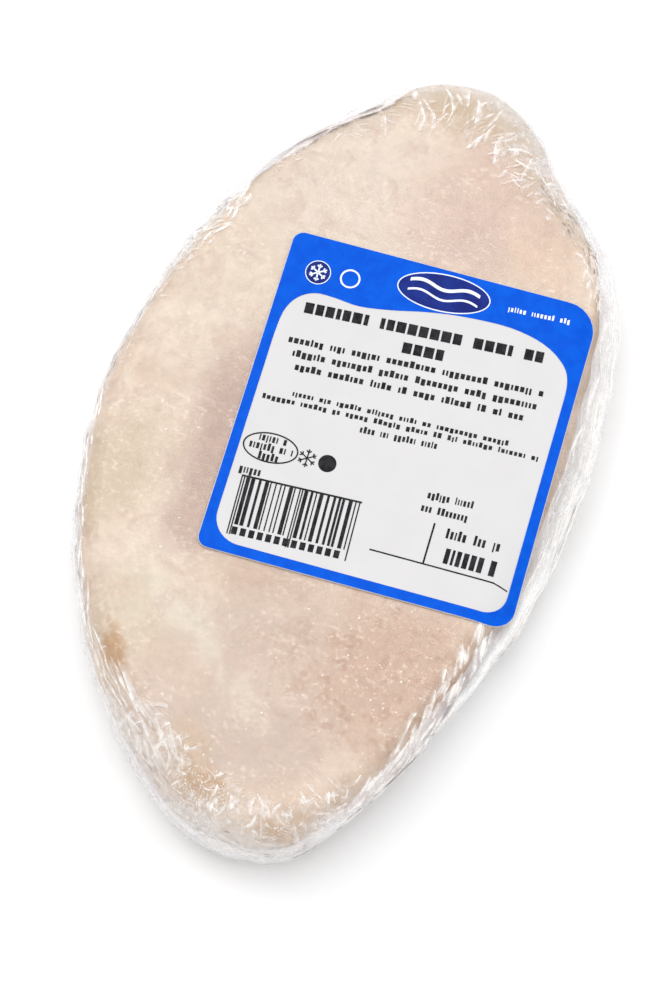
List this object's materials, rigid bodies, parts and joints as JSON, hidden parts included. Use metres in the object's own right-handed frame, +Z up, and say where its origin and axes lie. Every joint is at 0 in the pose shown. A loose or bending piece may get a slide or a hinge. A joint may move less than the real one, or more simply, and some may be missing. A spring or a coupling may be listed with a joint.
{
  "type": "frozen hake steak in film",
  "caption": "Oval frozen fish steak sealed in gathered clear film, with a square stick-on label on its top face.",
  "frame": {"origin": "on the surface the pack lies on, under the middle of its outline seen from above", "axes": "+Y along the steak's length, towards the end where its top slopes down; +Z up through the thickness; +X towards the side the label is nearer to"},
  "size_m": [0.094, 0.1606, 0.0191],
  "materials": {
    "film_over_flesh": "clear film over pale frosted flesh",
    "label": "satin printed paper"
  },
  "bodies": {
    "root": {"wrapped_steak": "film_over_flesh", "label": "label"}
  },
  "joints": []
}
